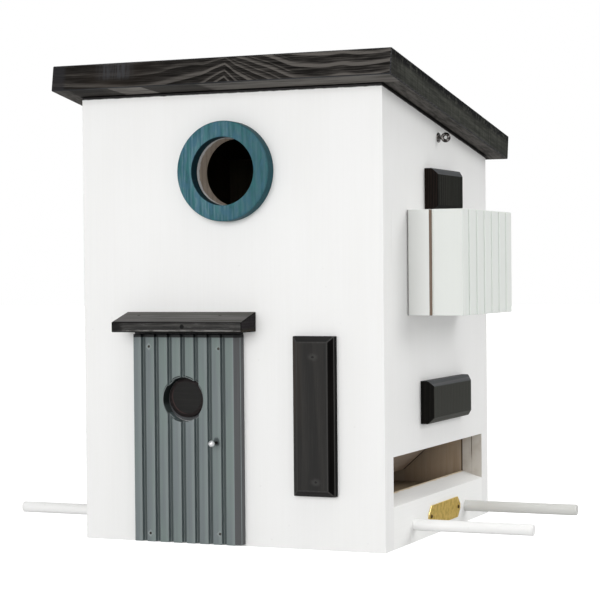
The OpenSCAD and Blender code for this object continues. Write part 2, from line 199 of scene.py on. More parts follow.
# ---- finishes

WHITE = (0.84, 0.84, 0.832)
WHITE_SHADE = (0.815, 0.813, 0.8)
PINE = (0.5, 0.39, 0.28)
PINE_LATE = (0.32, 0.22, 0.14)
TURN = {"X": (0, 0, 0), "Y": (0, 0, math.radians(-90)), "Z": (0, math.radians(90), 0)}


def new_finish(name, gloss=None):
    """A new material, its wiring and its shader's sockets."""
    material = bpy.data.materials.new(name)
    material.use_nodes = True
    tree = material.node_tree
    shader = tree.nodes["Principled BSDF"].inputs
    if gloss is not None:
        shader["Specular IOR Level"].default_value = gloss
    return material, Wiring(tree), shader


def in_mm(w):
    """The place on the piece, in millimetres."""
    return w.scaled(w.add("TexCoord").outputs["Object"], (MM, MM, MM))


def place(w, along, shift=(0, 0, 0)):
    """The place on the piece in millimetres, and the same turned so that X runs along the grain."""
    here = in_mm(w)
    grain = w.add("Mapping", {"Vector": here, "Location": shift, "Rotation": TURN[along]})
    return here, grain.outputs["Vector"]


def grain_tone(w, wood, low, high, fibres, lines):
    """How much of the line colour shows: a share for the fibres and one for the growth rings."""
    tone = w.times(w.remap(wood["Fibre"], low, high), fibres)
    return w.plus(tone, w.times(wood["Latewood"], lines), clamp=True)


def dress(w, shader, colour, rough, height, depth, strength=1):
    """Gives a shader its colour and roughness, and a grain that stands up by a depth in mm."""
    w.feed(shader["Base Color"], colour)
    w.feed(shader["Roughness"], rough)
    bump = w.add("Bump", {"Height": height, "Strength": strength, "Distance": depth / MM})
    w.feed(shader["Normal"], bump.outputs["Normal"])


def painted_wood(
    name, colour, shade, along="Z", shift=(0, 0, 0), rough=0.45, stroke=1, depth=0.03, marks=None,
    gloss=0.3,
):
    """Satin paint over planed wood. marks(w, here, paint) may lay lines or bare edges over it."""
    material, w, shader = new_finish(name, gloss)
    here, grain = place(w, along, shift)
    film = w.use(PAINT_FILM, Vector=grain, Stroke=stroke)
    tone = w.times(w.remap(film["Shade"], 0.3, 0.7), 0.7)
    paint = w.mix(tone, colour, shade)
    paint = w.mix(w.times(film["Speck"], 0.12), paint, tuple(part * 0.6 for part in colour))
    if marks:
        paint = marks(w, here, paint)
    roughness = w.remap(film["Shade"], 0.2, 0.8, rough - 0.05, rough + 0.08)
    dress(w, shader, paint, roughness, film["Height"], depth)
    return material


def bare_pine(name, along, shift, marks=None):
    """Planed pine with no paint."""
    material, w, shader = new_finish(name, 0.15)
    here, grain = place(w, along, shift)
    wood = w.use(TIMBER, Vector=grain, Ring=3, Wander=9)
    base = w.mix(grain_tone(w, wood, 0.35, 0.75, 0.3, 0.5), PINE, PINE_LATE)
    base = w.mix(w.remap(wood["Cloud"], 0.35, 0.7, 0, 0.35), base, (0.3, 0.27, 0.235))
    if marks:
        base = marks(w, here, base)
    roughness = w.remap(wood["Fibre"], 0.2, 0.8, 0.6, 0.8)
    dress(w, shader, base, roughness, w.plus(wood["Fibre"], wood["Latewood"]), 0.08)
    return material


def black_wood(name, along, shift, ground, line, lines=0.5, ring=2.6, gloss=0.12, marks=None):
    """Black stain over open grain: the colours of its ground and lines, and how much they show."""
    material, w, shader = new_finish(name, gloss)
    here, grain = place(w, along, shift)
    wood = w.use(TIMBER, Vector=grain, Ring=ring)
    base = w.mix(grain_tone(w, wood, 0.4, 0.8, 0.5, lines), ground, line)
    brown = w.mix(0.5, base, (0.036, 0.03, 0.026))
    base = w.mix(w.remap(wood["Cloud"], 0.45, 0.75, 0, 0.25), base, brown)
    if marks:
        base = marks(w, here, base)
    roughness = w.remap(wood["Fibre"], 0.25, 0.75, 0.5, 0.68)
    dress(w, shader, base, roughness, w.plus(wood["Fibre"], w.times(wood["Latewood"], 0.6)), 0.09)
    return material


def finish_of_metal(name, colour, dark, rough, along="X", line=6, patch=0.35):
    """Bright metal with fine drawn lines and dull patches."""
    material, w, shader = new_finish(name)
    here, grain = place(w, along)
    lines = w.noise(grain, (0.15, line, line), 3)
    dull = w.noise(here, patch, 3)
    shader["Metallic"].default_value = 1
    base = w.mix(w.remap(dull, 0.4, 0.7, 0, 0.7), colour, dark)
    dress(w, shader, base, w.remap(dull, 0.3, 0.7, rough, rough + 0.15), lines, 0.01, 0.5)
    return material


def tinted(share, colour):
    """Marks that tint a finish all over."""
    return lambda w, here, base: w.mix(share, base, colour)


# ---- making pieces

CURVED = math.radians(35)  # faces that meet at less than this are shaded as one
SHARP = math.radians(15)  # edges sharper than this may be eased
SUNK = 0.4  # how far a nail's or screw's head goes into the wood
DOME_STEPS = 6


def box_mm(node):
    """The lowest and highest corners of a CAD node, in millimetres."""
    low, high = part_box(node)
    return low * MM, high * MM


def cad_copy(node):
    """A clean bmesh of a CAD node in millimetres: corners merged and flat faces joined."""
    bm = bmesh.new()
    bm.from_mesh(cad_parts[node].data)
    bmesh.ops.scale(bm, vec=(MM, MM, MM), verts=bm.verts)
    bmesh.ops.remove_doubles(bm, verts=bm.verts, dist=0.0005)
    bmesh.ops.dissolve_limit(bm, angle_limit=math.radians(0.6), verts=bm.verts, edges=bm.edges)
    bmesh.ops.recalc_face_normals(bm, faces=bm.faces)
    return bm


def smooth_curves(bm):
    """Curved faces are shaded smooth, flat ones flat, with crisp edges between them."""
    for edge in bm.edges:
        edge.smooth = edge.calc_face_angle(0) < CURVED
    for face in bm.faces:
        face.smooth = any(0.01 < edge.calc_face_angle(0) < CURVED for edge in face.edges)


def add_object(name, data):
    """A new object in the scene."""
    added = bpy.data.objects.new(name, data)
    bpy.context.scene.collection.objects.link(added)
    return added


def new_mesh(name, bm, finishes):
    """A mesh with its finishes, from a bmesh that is used up."""
    mesh = bpy.data.meshes.new(name)
    bm.to_mesh(mesh)
    bm.free()
    for finish in finishes:
        mesh.materials.append(finish)
    return mesh


def keep(bm, name, finishes, stands_for=(), body="box"):
    """Turns a bmesh in millimetres into a piece that rides on a body."""
    bmesh.ops.scale(bm, vec=(1 / MM, 1 / MM, 1 / MM), verts=bm.verts)
    smooth_curves(bm)
    piece = add_object(name, new_mesh(name, bm, finishes))
    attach(piece, body)
    if stands_for:
        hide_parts(*stands_for)
    return piece


def ease(piece, widths, segments, worn):
    """Rounds a piece's sharp edges by a width in mm, or by widths(midpoint in mm, direction).

    worn is the number of the finish that the rounded edges take, or -1 for the one beside them. On
    the ring, the door and the name plate that finish is a painted highlight.
    """
    mesh = piece.data
    bm = bmesh.new()
    bm.from_mesh(mesh)
    layer = bm.edges.layers.float.new("bevel_weight_edge")
    wanted = {}
    for edge in bm.edges:
        if len(edge.link_faces) == 2 and edge.calc_face_angle() > SHARP:
            start, end = (vert.co * MM for vert in edge.verts)
            middle, direction = (start + end) / 2, (end - start).normalized()
            wanted[edge] = widths(middle, direction) if callable(widths) else widths
    widest = max(wanted.values(), default=0)
    for edge, width in wanted.items():
        edge[layer] = width / widest
    bm.to_mesh(mesh)
    bm.free()
    bevel = piece.modifiers.new("eased edges", "BEVEL")
    bevel.limit_method = "WEIGHT"
    bevel.width = widest / MM
    bevel.segments = segments
    bevel.material = worn
    bevel.miter_outer = "MITER_ARC"


def eased_node(node, name, finishes, widths, assign=None, segments=3, worn=-1, body="box"):
    """A CAD node with its edges eased. assign(face centre in mm, normal) picks a face's finish."""
    bm = cad_copy(node)
    if assign:
        for face in bm.faces:
            face.material_index = assign(face.calc_center_median(), face.normal)
    ease(keep(bm, name, finishes, [node], body), widths, segments, worn)


def stand(spot, direction):
    """A turn and a move that take +Z at the origin to a direction at a spot."""
    return Matrix.Translation(spot) @ Vector(direction).to_track_quat("Z", "Y").to_matrix().to_4x4()


def pour(part, at, bm):
    """Sets one bmesh in place, with its faces outwards, and adds it to another."""
    bmesh.ops.recalc_face_normals(part, faces=part.faces)
    bmesh.ops.transform(part, matrix=at, verts=part.verts)
    scratch = bpy.data.meshes.new("scratch")
    part.to_mesh(scratch)
    part.free()
    bm.from_mesh(scratch)
    bpy.data.meshes.remove(scratch)


def add_turned(bm, profile, steps, spot, direction):
    """Spins a profile of (radius, height) points about +Z, closes it and stands it at a spot."""
    part = bmesh.new()
    corners = [part.verts.new((radius, 0, height)) for radius, height in profile]
    for pair in zip(corners, corners[1:]):
        part.edges.new(pair)
    line = part.verts[:] + part.edges[:]
    bmesh.ops.spin(
        part, geom=line, cent=(0, 0, 0), axis=(0, 0, 1), angle=math.tau, steps=steps, use_merge=True
    )
    bmesh.ops.remove_doubles(part, verts=part.verts, dist=0.001)
    pour(part, stand(spot, direction), bm)


def domed(radius, height):
    """The closed profile of a domed nail head whose shank end is sunk in the wood."""
    points = [(0, -SUNK), (radius, -SUNK)]
    for step in range(DOME_STEPS):
        a = math.pi / 2 * step / DOME_STEPS
        points.append((radius * math.cos(a), height * math.sin(a)))
    return points + [(0, height)]


def screw_head(radius, height):
    """The closed profile of a low screw head with a round recess for the driver."""
    return [
        (0, -SUNK), (radius, -SUNK), (radius, 0),
        (radius - 0.25, height * 0.7), (radius * 0.6, height),
        (radius * 0.36, height), (radius * 0.3, height - 0.35), (0, height - 0.45),
    ]


# ---- the box

front_low, front_high = box_mm("front_wall")
back_low, back_high = box_mm("back_wall")
wall_low, wall_high = box_mm("right_wall")
door_low, door_high = box_mm("door_board")
hole_low, hole_high = box_mm("porthole_backing")
hole_mid = (hole_low + hole_high) / 2
FRONT, BACK = front_low.y, back_high.y
SIDE, INSIDE = wall_high.x, wall_low.x
FALL = (front_high.z - back_high.z) / (back_low.y - FRONT)
ROOF_TILT = math.atan(FALL)


def roof_line_shade(w, here, paint):
    """A thin dark line along the walls' top edges under the roof: painted shade in the gap below
    the roof board.
    """
    spot = w.parts(here)
    fall = w.times(w.minus(spot["Y"], FRONT), FALL)
    below = w.minus(w.minus(front_high.z, fall), spot["Z"])
    ragged = w.plus(below, w.times(w.noise(here, 0.3), 0.5))
    out_x = w.minus(w.absolute(spot["X"]), SIDE)
    out_y = w.minus(w.absolute(spot["Y"]), BACK)
    outer = w.remap(w.most(out_x, out_y), -0.8, -0.4)
    line_shade = w.times(outer, w.remap(ragged, 1.3, 1.8, 1, 0))
    return w.mix(line_shade, paint, (0.004, 0.003, 0.003))


def slot_paint(w, here, wood):
    """In the feeding slots the paint laps over the boards' edges, with dark seams between them."""
    spot = w.parts(here)
    out = w.absolute(spot["X"])
    worn = w.noise(here, 0.15, 3)
    paint = w.mix(w.remap(worn, 0.4, 0.7, 0, 0.5), (0.59, 0.555, 0.5), (0.46, 0.41, 0.35))
    base = w.mix(w.remap(out, INSIDE - 0.1, INSIDE + 0.2), wood, paint)
    joint = near(w, out, INSIDE + 0.1, 0.25, 0.3)
    glue = w.times(
        near(w, out, (SIDE + INSIDE) / 2, 0.1, 0.25), w.remap(spot["Z"], 30, 38, 0.15, 0.9)
    )
    return w.mix(w.most(joint, glue), base, (0.07, 0.045, 0.03))


def sill_wear(w, here, paint):
    """Bare wood shows along the inner edge of the slots' sills."""
    out = w.absolute(w.parts(here)["X"])
    ragged = w.minus(out, w.times(w.noise(here, 0.16, 3), 2.4))
    worn = w.remap(ragged, INSIDE - 0.5, INSIDE + 0.4, 1, 0)
    return w.mix(worn, paint, (0.78, 0.66, 0.47))


def front_painted_shade(w, here, paint):
    """Painted shade on the front wall: the line along its top, a near-black band in the gap under
    the canopy, and the dark recess behind the porthole's rim.
    """
    paint = roof_line_shade(w, here, paint)
    spot = w.parts(here)
    wide = near(
        w, spot["X"], (door_low.x + door_high.x) / 2 - 1.5, (door_high.x - door_low.x) / 2 + 1, 0.4
    )
    canopy_gap_shade = w.times(wide, near(w, spot["Z"], door_high.z, 1.6, 0.3))
    off = reach(w, w.minus(spot["X"], hole_mid.x), w.minus(spot["Z"], hole_mid.z))
    paint = w.mix(w.times(canopy_gap_shade, 0.97), paint, (0.012, 0.012, 0.013))
    return w.mix(w.remap(off, 12, 12.4, 0.97, 0), paint, (0.05, 0.056, 0.06))


white_up = painted_wood("white_upright", WHITE, WHITE_SHADE, marks=roof_line_shade)
white_front = painted_wood("white_front", WHITE, WHITE_SHADE, marks=front_painted_shade)
# The sills' white is lighter than the walls': painted light.
white_along = painted_wood(
    "white_along", (0.9, 0.9, 0.885), (0.86, 0.86, 0.845), along="Y", shift=(40, 15, 70), stroke=2,
    marks=sill_wear,
)
pine_up = bare_pine("pine_upright", "Z", (20, 90, 10), slot_paint)
pine_along = bare_pine("pine_along", "Y", (5, 60, 20))
pine_floor = bare_pine("pine_floor", "Y", (45, 60, 20), tinted(0.5, (0.16, 0.135, 0.075)))


def seed_joint(w, here, wood):
    """The sloping boards are grey and pinkish, and dark where they meet the front and back."""
    ragged = w.plus(w.absolute(w.parts(here)["Y"]), w.times(w.noise(here, 0.2), 2.4))
    wood = w.mix(0.55, wood, (0.66, 0.56, 0.49))
    return w.mix(
        w.remap(ragged, back_low.y - 2.4, back_low.y - 1.6, 0, 0.92), wood, (0.03, 0.018, 0.012)
    )


pine_seed = bare_pine("pine_seed", "Y", (5, 60, 20), seed_joint)


def outside(middle, direction):
    """Outer corners of the walls are well rounded, and the rest only broken."""
    upright = abs(direction.z) > 0.9
    at_side = abs(abs(middle.x) - SIDE) < 0.1
    at_end = abs(middle.y - FRONT) < 0.1 or abs(middle.y - BACK) < 0.1
    return 0.7 if upright and at_side and at_end else 0.1


def above_floor(middle, direction):
    """The sills' edges are broken, all but those they stand on."""
    return 0 if middle.z < 0.05 else 0.3


def inner_face(centre, normal):
    """The walls' finishes: painted, and bare where they face into the box."""
    inward = normal.x * centre.x + normal.y * centre.y < 0
    return 1 if inward and abs(normal.z) < 0.5 else 0


def front_face(centre, normal):
    """The front wall's finishes: painted, bare inside, and the entrance hole's own."""
    across = abs(normal.y) < 0.5 and abs(normal.z) < 0.99
    if across and abs(centre.x) < 40 and 100 < centre.z < front_high.z - 8:
        return 2
    return 1 if normal.y > 0.5 else 0


def entrance_edge(name):
    """The entrance hole's wall: paint laps over its front rim and the rest is weathered pine."""
    material, w, shader = new_finish(name, 0.15)
    here, grain = place(w, "Z", (0, 40, 0))
    wood = w.use(TIMBER, Vector=grain, Ring=2.4)
    rim = w.noise(here, 0.3, 3)
    depth = w.minus(w.parts(here)["Y"], FRONT)
    edge = w.minus(depth, w.times(rim, 5.6))
    paint = w.remap(edge, -0.4, 0.6, 1, 0)
    timber = w.mix(grain_tone(w, wood, 0.3, 0.7, 0.5, 0.5), (0.62, 0.53, 0.44), (0.4, 0.32, 0.26))
    base = w.mix(paint, timber, WHITE)
    dress(w, shader, base, w.remap(paint, 0, 1, 0.75, 0.45), w.plus(wood["Fibre"], paint), 0.12)
    return material


eased_node(
    "front_wall", "front_board", [white_front, pine_up, entrance_edge("entrance_edge")],
    outside, front_face,
)


def slot_paint_and_nest_shade(w, here, wood):
    """The slots' paint on the back board, and painted shade darkening it inside the nest above the
    feeding slots, a little also towards its middle.
    """
    wood = slot_paint(w, here, wood)
    spot = w.parts(here)
    high_up = w.remap(spot["Z"], 55, 75, 0, 0.85)
    deep = w.remap(w.absolute(spot["X"]), 40, 62, 0.18, 0)
    return w.mix(w.most(high_up, deep), wood, (0.028, 0.023, 0.012))


pine_nest_shade = bare_pine("pine_nest_shade", "Z", (20, 90, 10), slot_paint_and_nest_shade)
eased_node("back_wall", "back_board", [white_up, pine_nest_shade], outside, inner_face)
for side in ("right", "left"):
    eased_node(
        side + "_wall", side + "_board", [white_up, pine_up], outside, inner_face
    )
    eased_node(
        side + "_rail", side + "_sill", [white_along, pine_along], above_floor,
        inner_face,
    )
    eased_node(side + "_seed_board", side + "_seed_slope", [pine_seed], 0.4)
eased_node("floor_board", "floor_panel", [pine_floor], 0.3)


# ---- the roof

ROOF_HALF = 95
ROOF_LOW_Y = box_mm("roof_board")[0].y
CURVE_ZERO = 0.8  # the height at which a curve stands for 0
# The roof's growth lines from left to right: (place, height) in millimetres, and (place, lean).
ARCH = [
    (-95, -8.6), (-81, -9.2), (-62, -10.2), (-52, -10.9), (-43, -11.2), (-33, -10.8), (-24, -9.6),
    (-15, -8.4), (-10, -7.2), (-5.7, -5.1), (-1.2, -1.8), (5.3, 3.45), (7.8, -0.2), (12.3, -5.5),
    (21, -11.2), (30, -14.9), (38.7, -18.5), (43, -19.9), (47.4, -20.5), (60, -21.2), (69, -20.4),
    (77, -20.8), (95, -18.9),
]
STRETCH = [
    (-95, -0.13), (-60, -0.16), (-33, -0.27), (-15, -0.25),
    (-5.7, 0.05), (5.3, 0.5), (12.3, 0.2), (20, 0),
    (95, 0),
]


def follow(w, along, spots, span):
    """A smooth curve through (place, height) spots along the roof, with a peak at the highest."""
    node = w.add("FloatCurve", {"Value": w.over(w.plus(along, ROOF_HALF), 2 * ROOF_HALF)})
    curve = node.mapping.curves[0]
    shares = [
        ((right + ROOF_HALF) / (2 * ROOF_HALF), CURVE_ZERO + up / span) for right, up in spots
    ]
    peak = max(shares, key=lambda share: share[1])
    curve.points[0].location, curve.points[-1].location = shares[0], shares[-1]
    for share in shares[1:-1]:
        point = curve.points.new(*share)
        if share == peak:
            point.handle_type = "VECTOR"
    node.mapping.update()
    return w.times(w.minus(node.outputs[0], CURVE_ZERO), span)


def on_board(w, here):
    """The place on the roof board in millimetres: Y down its slope and Z up from its underside."""
    edge = Vector((0, ROOF_LOW_Y, front_high.z + (FRONT - ROOF_LOW_Y) * FALL))
    lie = -(Matrix.Rotation(ROOF_TILT, 3, "X") @ edge)
    turned = w.add("Mapping", {"Vector": here, "Location": lie, "Rotation": (ROOF_TILT, 0, 0)})
    return turned.outputs["Vector"]


def stained_roof(name):
    """Black stain worn off the growth lines, which arch as on a board cut near the heart."""
    material, w, shader = new_finish(name, 0.03)
    here = in_mm(w)
    grain = on_board(w, here)
    along = w.parts(here)["X"]
    up = w.parts(grain)["Z"]
    stretch = w.times(w.times(follow(w, along, STRETCH, 4), up), -1)
    swell = w.plus(follow(w, along, ARCH, 30), stretch)
    turned = w.scaled(grain, (1, 1, -1))
    wood = w.use(TIMBER, Vector=turned, Ring=5, Heart=79.6, Wander=1.2, Swell=swell)
    finer = w.use(TIMBER, Vector=turned, Ring=2.5, Heart=79.6, Wander=1.2, Swell=swell)
    between = w.times(near(w, along, 26, 14, 8), finer["Latewood"])
    late = w.most(wood["Latewood"], w.times(between, 0.75))
    line = w.remap(late, 0.15, 0.85)
    fibre = w.remap(wood["Fibre"], 0.4, 0.7)
    tone = w.times(line, w.remap(wood["Fibre"], 0.25, 0.6, 0.35, 0.95))
    tone = w.plus(tone, w.times(fibre, 0.36), clamp=True)
    tone = w.times(tone, w.remap(along, -70, 85, 0.6, 1.5))
    base = w.mix(tone, (0.0065, 0.0058, 0.0052), (0.1, 0.092, 0.084))
    hatch = w.noise(here, (0.9, 0.3, 0.06), 3)
    upper = w.times(near(w, along, -58, 5, 8), w.remap(up, 3.5, 7))
    patch = w.times(upper, w.remap(hatch, 0.3, 0.7, 0.15, 0.9))
    base = w.mix(patch, base, (0.045, 0.048, 0.055))
    base = w.mix(w.remap(along, -89, -86, 0.7, 0), base, (0.022, 0.0225, 0.026))
    brown = w.times(w.remap(along, -60, -20, 0.5, 0), w.remap(wood["Cloud"], 0.3, 0.6))
    base = w.mix(brown, base, w.mix(0.5, base, (0.04, 0.031, 0.024)))
    roughness = w.remap(wood["Fibre"], 0.25, 0.75, 0.5, 0.68)
    dress(w, shader, base, roughness, w.plus(w.times(line, 1.2), wood["Fibre"]), 0.15)
    return material


def roof_face(centre, normal):
    """The roof's finishes: its long faces, its two ends and its underside."""
    if abs(normal.x) > 0.9:
        return 1
    return 2 if normal.z < -0.9 else 0


def sawn_end(w, here, base):
    """Saw marks and streaks down the slope, with dark pits of open grain along the upper edge."""
    board = on_board(w, here)
    streak = w.noise(board, (0.3, 0.035, 0.7), 4, 0.6)
    saw = w.noise(here, (0.3, 1, 0.07), 3, 0.6)
    base = w.mix(w.remap(streak, 0.38, 0.64, 0, 0.8), base, (0.064, 0.066, 0.056))
    base = w.mix(w.remap(saw, 0.46, 0.62, 0, 0.4), base, (0.01, 0.011, 0.01))
    rise = w.parts(board)
    nick = w.noise(board, (0.3, 0.45, 0.35), 4, 0.7)
    pits = w.times(w.remap(nick, 0.4, 0.5), w.remap(rise["Z"], 8, 11.5, 0, 0.95))
    base = w.mix(pits, base, (0.003, 0.003, 0.004))
    front = w.times(w.remap(rise["Y"], 3, 26, 0.6, 0), w.remap(nick, 0.35, 0.6))
    return w.mix(front, base, (0.012, 0.01, 0.01))


def eave_dust_and_shade(w, here, base):
    """The underside is paler in patches near the front and in a band outside the walls: dust, with
    a painted reflection of the white walls. It is near-black where it meets the walls: painted
    shade.
    """
    spot = w.parts(here)
    slant = w.minus(spot["X"], w.times(w.minus(spot["Y"], ROOF_LOW_Y), 0.35))
    streak = w.noise(here, (0.03, 0.35, 0.35), 4, 0.65)
    patch = w.most(near(w, slant, -52.5, 9, 1.5), w.remap(slant, -13, -8, 0.14, 0.72))
    patch = w.times(patch, w.remap(spot["X"], -68, -64, 0.3, 1))
    patch = w.times(patch, w.remap(streak, 0.35, 0.6, 0.45, 1))
    front = w.remap(spot["Y"], FRONT - 0.5, FRONT + 1, 1, 0)
    out = w.remap(w.absolute(spot["X"]), SIDE - 1, SIDE + 1, 0, 0.36)
    out = w.times(out, w.remap(w.noise(here, (0.5, 0.05, 0.3), 4, 0.65), 0.35, 0.62, 0.3, 1.2))
    base = w.mix(w.most(w.times(front, patch), out), base, (0.21, 0.198, 0.182))
    past_x = w.minus(w.absolute(spot["X"]), SIDE)
    past_y = w.minus(w.absolute(spot["Y"]), BACK)
    ragged = w.plus(w.most(past_x, past_y), w.times(w.noise(here, 0.25), -1.2))
    return w.mix(w.remap(ragged, 0.1, 0.8, 0.95, 0), base, (0.004, 0.003, 0.003))


roof_finishes = [
    stained_roof("roof_black"),
    black_wood(
        "roof_ends", "Y", (0, 25, 0),
        (0.028, 0.029, 0.025), (0.045, 0.046, 0.039), 0.6, 3.4, 0.02, sawn_end,
    ),
    black_wood(
        "roof_below", "X", (0, 70, 5),
        (0.011, 0.0098, 0.0088), (0.042, 0.037, 0.033), 0.8, 3.8, 0.04, eave_dust_and_shade,
    ),
    black_wood(
        "roof_worn", "X", (0, 15, 50), (0.016, 0.0165, 0.018), (0.06, 0.061, 0.064), 0.9, 1.4
    ),
]
eased_node(
    "roof_board", "roof_panel", roof_finishes, 0.5, roof_face, worn=3, body="roof"
)

zinc = finish_of_metal("zinc", (0.62, 0.63, 0.64), (0.36, 0.37, 0.38), 0.28)
for side in ("left", "right"):
    for node, name, width, body in (
        ("_hinge_wall_leaf", "_fixed_leaf", 0.15, "box"),
        ("_hinge_roof_leaf", "_moving_leaf", 0.15, "roof"),
        ("_hinge_pin", "_pin", 0.2, "box"),
    ):
        eased_node(side + node, side + name, [zinc], width, segments=2, body=body)


# ---- the front

ring_low, ring_high = box_mm("entrance_ring")
RING_Z = (ring_low.z + ring_high.z) / 2


def ring_face(centre, normal):
    """The ring's finishes: its face, the bore darkened as painted shade, and the outer side darker
    as painted shade.
    """
    if abs(normal.y) > 0.3:
        return 0
    return 1 if normal.x * centre.x + normal.z * (centre.z - RING_Z) < 0 else 2


def ring_streaks(w, here, paint):
    """Streaks run down the ring, more of them light towards its left."""
    streak = w.noise(here, (0.9, 0.3, 0.05), 3)
    across = w.remap(w.parts(here)["X"], -26, 26, 0.55, 0.2)
    paint = w.mix(
        w.times(w.remap(streak, 0.35, 0.65), w.plus(across, 0.2)), paint, (0.118, 0.222, 0.272)
    )
    cloud = w.noise(here, (0.4, 0.4, 0.16), 3)
    paint = w.mix(w.remap(cloud, 0.48, 0.64, 0, 0.6), paint, (0.042, 0.122, 0.185))
    paint = w.mix(w.remap(cloud, 0.34, 0.5, 0.45, 0), paint, (0.03, 0.15, 0.15))
    right = w.times(w.remap(w.parts(here)["X"], -4, 18), w.remap(streak, 0.3, 0.6, 0.4, 1))
    return w.mix(w.times(right, 0.3), paint, (0.02, 0.08, 0.088))


ring_finishes = [
    painted_wood(
        "ring_blue", (0.024, 0.092, 0.108), (0.032, 0.108, 0.132), stroke=1.5, depth=0.08,
        marks=ring_streaks,
        gloss=0.12,
    ),
    # The bore: a darker copy of the ring's blue, painted shade.
    painted_wood("ring_bore_shade", (0.008, 0.03, 0.04), (0.014, 0.045, 0.06), "Y", depth=0.08),
    # The outer side: a darker copy of the ring's blue, painted shade.
    painted_wood(
        "ring_side_shade", (0.012, 0.062, 0.08), (0.022, 0.088, 0.108), "Y", depth=0.08, gloss=0.06
    ),
    # The rounded edges: a lighter blue, painted highlight.
    painted_wood("ring_arris_highlight", (0.13, 0.24, 0.28), (0.2, 0.32, 0.36), depth=0.08),
]
eased_node("entrance_ring", "entrance_trim", ring_finishes, 0.25, ring_face, worn=3)

knob_low, knob_high = box_mm("door_knob")
knob_mid = (knob_low + knob_high) / 2
# Measured from the door's left edge, and the pins also up from the floor.
PIN_SPOTS = [(9.1, 102.6), (49.1, 101.7), (9.1, 5.4), (49.1, 6.7)]
FIRST_GROOVE = 5.8
GROOVE_STEP = 7.6


def canopy_shadow_on_door(w, here, paint):
    """Painted shadow of the canopy: the door's top is near-black."""
    top = w.remap(w.parts(here)["Z"], door_high.z - 1.9, door_high.z - 1.4, 0, 0.97)
    return w.mix(top, paint, (0.005, 0.0055, 0.006))


def door_light_and_shade(w, here, paint):
    """The ribs are lighter to their right, a painted highlight, and pale round their pins. The
    grooves, the porthole's left wall and round the knob's foot are darkened as painted shade, and
    the top takes the canopy's painted shadow.
    """
    spot = w.parts(here)
    step = w.math("FRACT", w.over(w.minus(spot["X"], door_low.x + FIRST_GROOVE), GROOVE_STEP))
    pale = w.remap(step, 0.45, 1, 0, 0.9)
    for right, up in PIN_SPOTS:
        off_x = w.absolute(w.minus(spot["X"], door_low.x + right))
        off_z = w.absolute(w.minus(spot["Z"], up))
        pale = w.most(pale, w.remap(w.plus(off_x, off_z), 1.4, 2.4, 0.9, 0))
    paint = w.mix(pale, paint, (0.25, 0.28, 0.274))
    cloud = w.noise(here, (0.06, 0.05, 0.018))
    paint = w.mix(w.remap(cloud, 0.42, 0.6, 0, 0.55), paint, (0.165, 0.215, 0.195))
    depth = w.minus(spot["Y"], door_low.y)
    paint = w.mix(w.times(w.remap(depth, 0.4, 1.8), 0.85), paint, (0.044, 0.058, 0.06))
    off_z = w.minus(spot["Z"], hole_mid.z)
    off = reach(w, w.minus(spot["X"], hole_mid.x), off_z)
    hole = w.times(w.remap(off, 11.6, 11.8, 0.93, 0), w.remap(off_z, -10.5, -6))
    paint = w.mix(hole, paint, (0.01, 0.016, 0.015))
    foot_x = w.minus(spot["X"], knob_mid.x)
    foot_z = w.times(w.minus(spot["Z"], knob_mid.z + 0.4), 0.75)
    foot = w.plus(reach(w, foot_x, foot_z), w.noise(here, 0.7))
    paint = w.mix(w.remap(foot, 1.7, 2.7, 0.92, 0), paint, (0.04, 0.05, 0.053))
    return canopy_shadow_on_door(w, here, paint)


def door_face(centre, normal):
    """The door's finishes: its face and grooves, its right end in painted shade, and the grooves'
    left walls in painted light.
    """
    if normal.x < 0.3 or math.hypot(centre.x - hole_mid.x, centre.z - hole_mid.z) < 12:
        return 0
    return 1 if centre.x > door_high.x - 4 else 3


door_finishes = [
    painted_wood(
        "door_blue", (0.168, 0.195, 0.2), (0.125, 0.148, 0.154), rough=0.5, marks=door_light_and_shade
    ),
    # The right end: a darker, greyer copy of the door's paint, painted shade.
    painted_wood(
        "door_edge_shade", (0.079, 0.081, 0.085), (0.1, 0.102, 0.105), rough=0.55, marks=canopy_shadow_on_door
    ),
    # The rounded edges: a lighter copy of the door's paint, painted highlight.
    painted_wood("door_arris_highlight", (0.21, 0.24, 0.24), (0.17, 0.2, 0.2), rough=0.5, marks=canopy_shadow_on_door),
    # The grooves' left walls: a lighter copy of the door's paint, painted light against the shade
    # in the grooves.
    painted_wood(
        "door_groove_wall_light", (0.155, 0.195, 0.2), (0.13, 0.165, 0.17), rough=0.55, marks=canopy_shadow_on_door
    ),
]
eased_node("door_board", "door_panel", door_finishes, 0.3, door_face, worn=2)


def disc_face(centre, normal):
    """The disc's finishes: its flat face, and its sloping rim."""
    return 1 if 0.1 < abs(normal.y) < 0.98 else 0


def disc_shadow_and_edge_light(w, here, base):
    """Painted shadow darkens the disc round its left and lower rim, with a lighter brown line at
    its edge as a painted highlight.
    """
    spot = w.parts(here)
    off = reach(w, w.minus(spot["X"], hole_mid.x + 1.3), w.minus(spot["Z"], hole_mid.z + 0.7))
    base = w.mix(w.remap(off, 8.7, 9, 0, 0.8), base, (0.005, 0.0035, 0.0035))
    return w.mix(near(w, off, 9.3, 0.25, 0.2), base, (0.04, 0.026, 0.025))


disc_finishes = [
    black_wood(
        "disc_black", "X", (0, 10, 5),
        (0.014, 0.0138, 0.0135), (0.026, 0.025, 0.024), 0.2, marks=disc_shadow_and_edge_light,
    ),
    black_wood("disc_rim", "X", (0, 30, 5), (0.014, 0.0115, 0.0115), (0.034, 0.027, 0.027)),
]
eased_node("porthole_backing", "porthole_button", disc_finishes, 0.15, disc_face)

canopy_low, canopy_high = box_mm("door_canopy")
NAIL_X = -18.2  # of the dark nail in the canopy's front


def canopy_face(centre, normal):
    """The canopy's finishes: front and underside, a top paler with dust and a painted sheen, and
    ends.
    """
    if abs(normal.x) > 0.9:
        return 2
    return 1 if normal.z > 0.5 else 0


